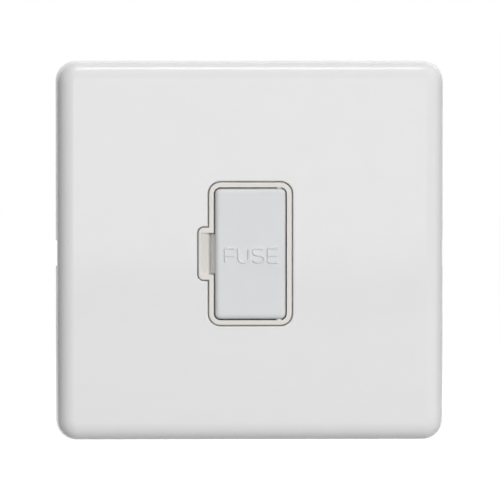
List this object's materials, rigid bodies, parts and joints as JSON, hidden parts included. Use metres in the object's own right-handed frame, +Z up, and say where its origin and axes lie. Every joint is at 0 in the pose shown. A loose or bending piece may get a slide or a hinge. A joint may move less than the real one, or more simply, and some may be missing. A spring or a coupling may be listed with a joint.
{
  "type": "fused spur unit",
  "caption": "White unswitched fused connection unit with a clip-on square plate, a hinged fuse carrier and rear terminals.",
  "frame": {"origin": "middle of the two box fixing slots, in the wall plane, which is the rear face of the mounting frame", "axes": "+Z up, front of the plate faces -Y, +X to the right seen from the front, +Y into the wall"},
  "size_m": [0.0878, 0.0304, 0.086],
  "materials": {
    "plate_paint": "white satin paint with a very fine texture",
    "bezel_moulding": "white satin moulding, slightly warm",
    "carrier_moulding": "white satin moulding, slightly cool",
    "liner_moulding": "natural white moulding",
    "cover_moulding": "white matt moulding",
    "zinc_steel": "bright zinc-plated sheet",
    "terminal_brass": "machined, dull",
    "strip_brass": "rolled strip",
    "spring_bronze": "spring strip",
    "screw_steel": "zinc-plated, slotted",
    "clamp_screw_brass": "nickelled, slotted",
    "fuse_cap_metal": "nickel-plated",
    "fuse_ceramic": "unglazed ceramic",
    "fuse_element": "tinned wire"
  },
  "bodies": {
    "spur_unit": {"front_plate": "plate_paint", "plate_liner": "liner_moulding", "mounting_frame": "zinc_steel", "module_housing": "bezel_moulding", "rear_cover": "cover_moulding", "supply_fuse_contact": "spring_bronze", "load_fuse_contact": "spring_bronze", "supply_line_terminal": "terminal_brass", "supply_earth_terminal": "terminal_brass", "supply_neutral_terminal": "terminal_brass", "load_line_terminal": "terminal_brass", "load_earth_terminal": "terminal_brass", "load_neutral_terminal": "terminal_brass", "neutral_bar": "strip_brass", "earth_bar": "strip_brass", "terminal_screws": "clamp_screw_brass", "frame_screws": "screw_steel", "cover_screws": "screw_steel", "earth_bond_screw": "screw_steel", "plate_earth_spring": "spring_bronze", "spring_rivet": "screw_steel"},
    "carrier": {"fuse_carrier": "carrier_moulding", "fuse_tube": "fuse_ceramic", "fuse_cap_top": "fuse_cap_metal", "fuse_cap_bottom": "fuse_cap_metal", "fuse_wire": "fuse_element"}
  },
  "joints": [
    {"name": "carrier_hinge", "type": "hinge", "parent": "spur_unit", "child": "carrier", "pos_m": [0.0065, -0.0069, 0], "axis": [0, 0, 1], "range_deg": [0, 57]}
  ]
}
